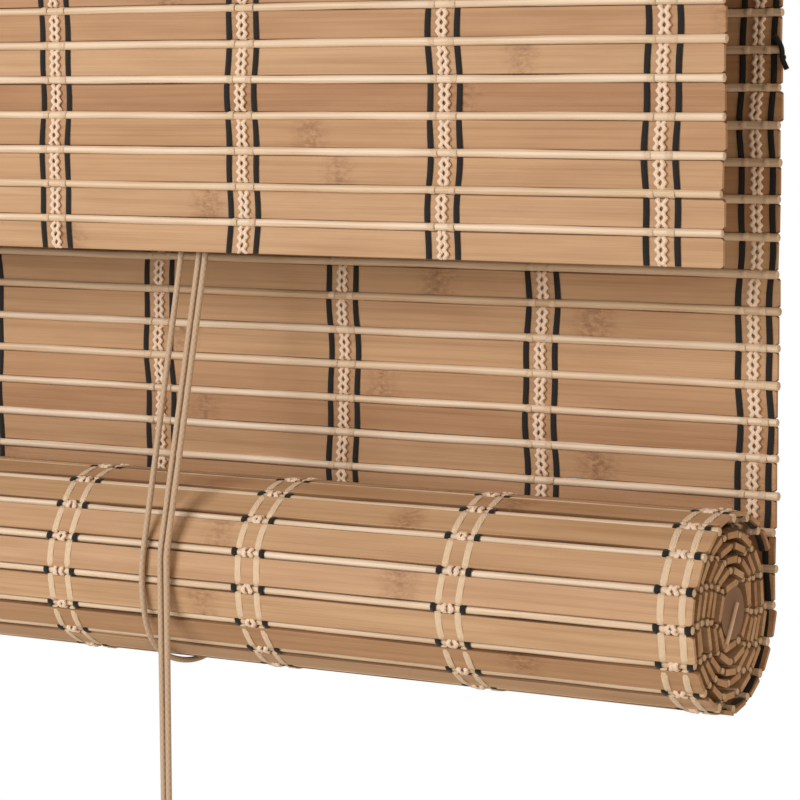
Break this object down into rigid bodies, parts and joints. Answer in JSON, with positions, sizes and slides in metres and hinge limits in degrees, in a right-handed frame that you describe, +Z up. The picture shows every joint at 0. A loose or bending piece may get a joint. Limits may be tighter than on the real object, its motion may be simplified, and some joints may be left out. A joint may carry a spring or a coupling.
{
  "type": "bamboo roll up blind",
  "caption": "Roll up window blind woven from bamboo slats and rods, with a headrail, a valance flap, lift cords, a cord lock and a pull cord with a wooden acorn.",
  "frame": {"origin": "middle of the headrail's top face, between the two mounting holes", "axes": "+X along the blind to the right as seen from the room, +Z up, front is -Y"},
  "size_m": [0.8006, 0.0784, 0.4489],
  "materials": {
    "headrail_wood": "satin",
    "bamboo_slat": "satin",
    "bamboo_rod": "satin",
    "core_wood": "matte",
    "acorn_wood": "satin",
    "black_thread": "matte",
    "cream_thread": "matte",
    "cord": "matte",
    "steel": "satin",
    "white_plastic": "satin",
    "brass": "satin"
  },
  "bodies": {
    "headrail": {"headrail": "headrail_wood", "bracket_screws": "steel", "valance_staples": "steel", "panel_staples": "steel", "cord_staples": "steel", "valance_top_slat": "bamboo_slat", "valance_hinge_rod": "bamboo_rod", "panel_slats": "bamboo_slat", "panel_rods": "bamboo_rod", "panel_black_threads": "black_thread", "panel_chain_threads": "cream_thread", "panel_back_threads": "cream_thread", "pulley_bracket": "steel", "pulley_pin": "steel", "lock_housing": "steel", "lock_wheel_pin": "steel", "lock_cam_pin": "steel", "right_back_strand": "cord", "left_back_strand": "cord", "right_front_strand": "cord", "left_front_strand": "cord", "right_cord_turn": "cord", "cross_cord": "cord", "right_pull_upper": "cord", "left_pull_upper": "cord"},
    "valance": {"valance_slats": "bamboo_slat", "valance_rods": "bamboo_rod", "valance_black_threads": "black_thread", "valance_chain_threads": "cream_thread", "valance_back_threads": "cream_thread"},
    "carriage": {"outer_turn_slats": "bamboo_slat", "outer_turn_rods": "bamboo_rod", "outer_turn_threads": "cream_thread", "right_cord_loop": "cord", "left_cord_loop": "cord", "right_pull_lower": "cord", "left_pull_lower": "cord"},
    "roll": {"inner_turns": "bamboo_slat", "core_dowel": "core_wood", "core_peg": "bamboo_rod"},
    "pull": {"cord_hank": "cord", "hank_tie": "cord", "acorn_tail": "cord", "acorn": "acorn_wood"},
    "pulley_wheel": {"pulley_wheel": "white_plastic"},
    "lock_front_wheel": {"lock_front_wheel": "white_plastic"},
    "lock_back_wheel": {"lock_back_wheel": "white_plastic"},
    "lock_cam": {"lock_cam": "brass"}
  },
  "joints": [
    {"name": "valance_swing", "type": "hinge", "parent": "headrail", "child": "valance", "pos_m": [0, -0.02175, -0.01025], "axis": [-1, 0, 0], "range_deg": [0, 80]},
    {"name": "roll_lift", "type": "slide", "parent": "headrail", "child": "carriage", "axis": [0, 0, 1], "range_m": [0, 0.072], "deforming": ["panel_slats", "panel_rods", "panel_black_threads", "panel_chain_threads", "panel_back_threads", "right_back_strand", "left_back_strand", "right_front_strand", "left_front_strand", "right_pull_upper", "left_pull_upper"]},
    {"name": "roll_spin", "type": "hinge", "parent": "carriage", "child": "roll", "pos_m": [0, -0.009, -0.2799], "axis": [-1, 0, 0], "range_deg": [0, 134]},
    {"name": "pull_drop", "type": "slide", "parent": "carriage", "child": "pull", "axis": [0, 0, -1], "range_m": [0, 0.217], "deforming": ["right_pull_lower", "left_pull_lower"]},
    {"name": "pulley_wheel_spin", "type": "hinge", "parent": "headrail", "child": "pulley_wheel", "pos_m": [-0.19575, -0.0115, -0.0305], "axis": [0, 1, 0], "continuous": true},
    {"name": "lock_front_wheel_spin", "type": "hinge", "parent": "headrail", "child": "lock_front_wheel", "pos_m": [0.20425, -0.016, -0.0305], "axis": [0, 1, 0], "continuous": true},
    {"name": "lock_back_wheel_spin", "type": "hinge", "parent": "headrail", "child": "lock_back_wheel", "pos_m": [0.20425, -0.0115, -0.0305], "axis": [0, 1, 0], "continuous": true},
    {"name": "lock_cam_turn", "type": "hinge", "parent": "headrail", "child": "lock_cam", "pos_m": [0.2149, -0.01375, -0.0315], "axis": [0, -1, 0], "range_deg": [0, 40]}
  ],
  "couplings": [
    {"joint": "roll_spin", "follows": "roll_lift", "rad_per_m": 32.258},
    {"joint": "pull_drop", "follows": "roll_lift", "ratio": 3}
  ]
}
